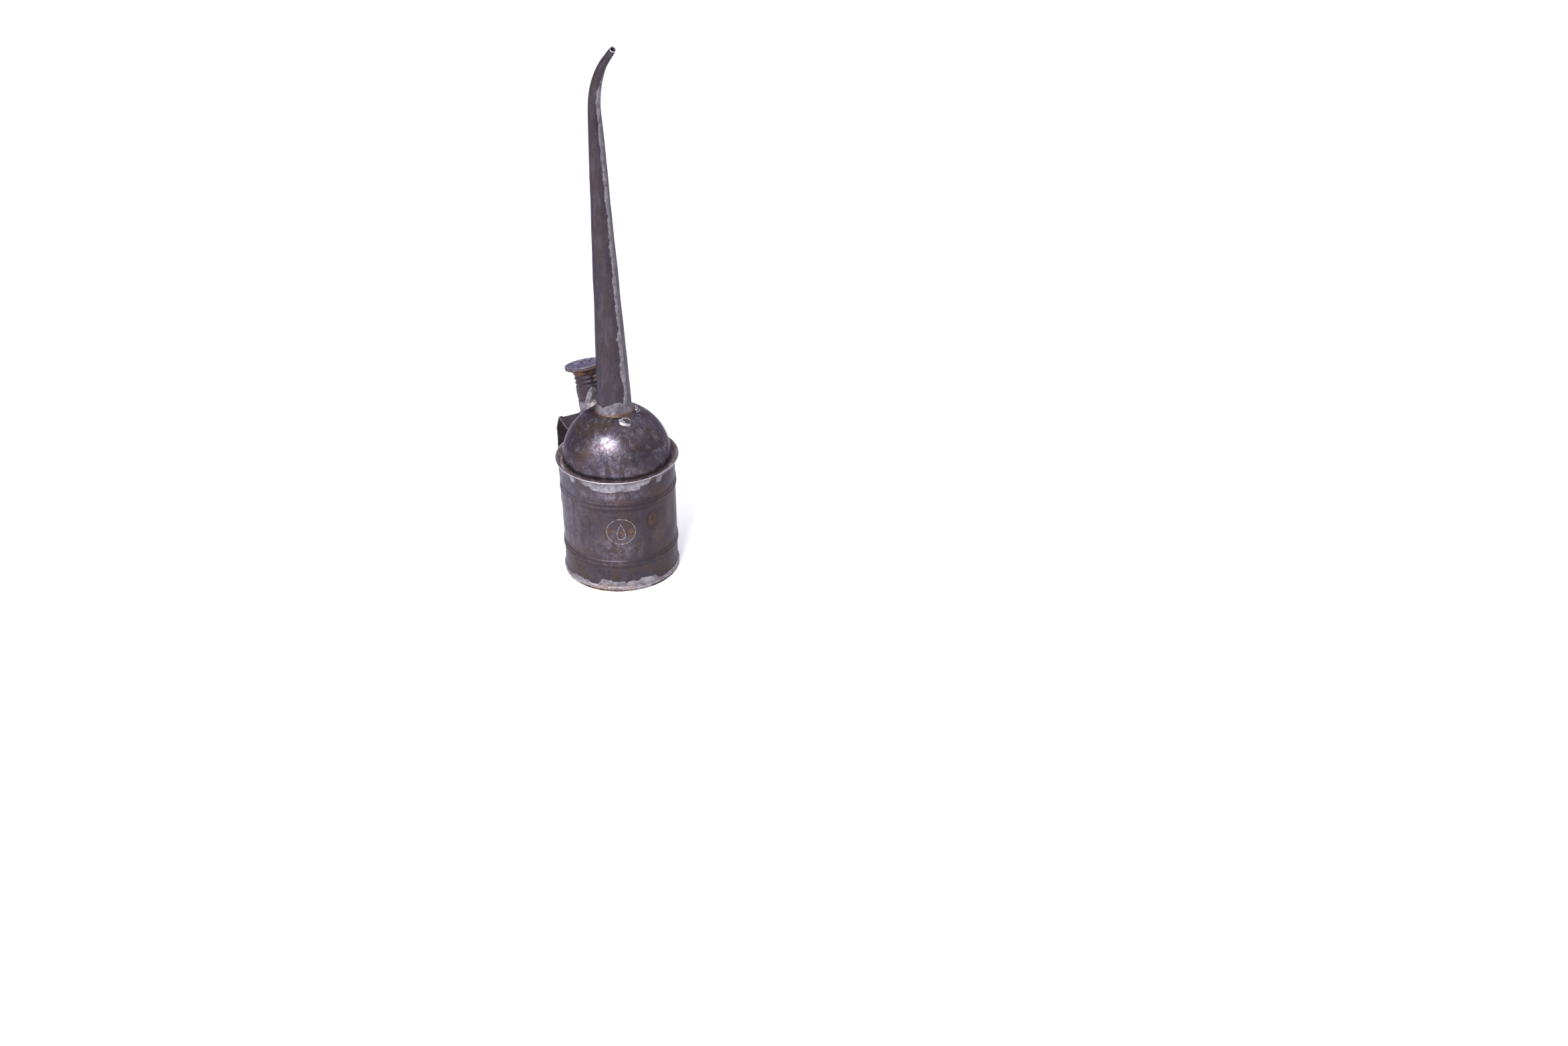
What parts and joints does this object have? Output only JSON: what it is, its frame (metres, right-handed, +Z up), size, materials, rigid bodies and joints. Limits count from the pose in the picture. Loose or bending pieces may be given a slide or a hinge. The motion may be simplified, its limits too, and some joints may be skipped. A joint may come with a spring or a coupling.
{
  "type": "oiler can",
  "caption": "Sheet-steel hand oiler can with a beaded cylindrical body, domed top, long bent tapering spout, tilted filler neck with screw cap, and strap handle.",
  "frame": {"origin": "centre of the flat base, on the surface that the can stands on", "axes": "+Z up the body, -Y the way the spout's tip bends, +Y the side of the filler neck and the handle"},
  "size_m": [0.0892, 0.1259, 0.3888],
  "materials": {
    "sheet_steel": "dark grey-brown patina with brown rust mottling and worn bright edges",
    "tube_steel": "smooth dark grey patina with a cool sheen",
    "rusty_steel": "brown rusted steel with orange rust under the cap",
    "cap_steel": "worn smooth grey steel with a speckled knurled edge",
    "solder": "dull grey tin-lead solder, bright where it ran thick",
    "fluxed_solder": "grey solder stained brown by flux and rust",
    "washer_leather": "oil-soaked dark leather"
  },
  "bodies": {
    "can": {"body_shell": "sheet_steel", "body_seam_solder": "solder", "base_pan": "sheet_steel", "base_solder": "solder", "dome_top": "sheet_steel", "dome_solder": "fluxed_solder", "spout_tube": "tube_steel", "spout_seam_solder": "solder", "spout_base_solder": "fluxed_solder", "spout_solder_crescent": "solder", "filler_neck": "rusty_steel", "neck_solder": "solder", "handle_strap": "tube_steel", "handle_top_solder": "solder", "handle_bottom_solder": "solder"},
    "washer": {"cap_washer": "washer_leather"},
    "cap": {"filler_cap": "cap_steel", "cap_screw_shell": "rusty_steel", "cap_shell_solder": "solder"}
  },
  "joints": [
    {"name": "cap_lift", "type": "slide", "parent": "can", "child": "washer", "axis": [0, 0.2521, 0.9677], "range_m": [0, 0.0128]},
    {"name": "cap_turn", "type": "hinge", "parent": "washer", "child": "cap", "pos_m": [0, 0.03291, 0.14575], "axis": [0, 0.2521, 0.9677], "range_deg": [0, 1440]}
  ],
  "couplings": [
    {"joint": "cap_lift", "follows": "cap_turn", "m_per_rad": 0.00050532}
  ]
}
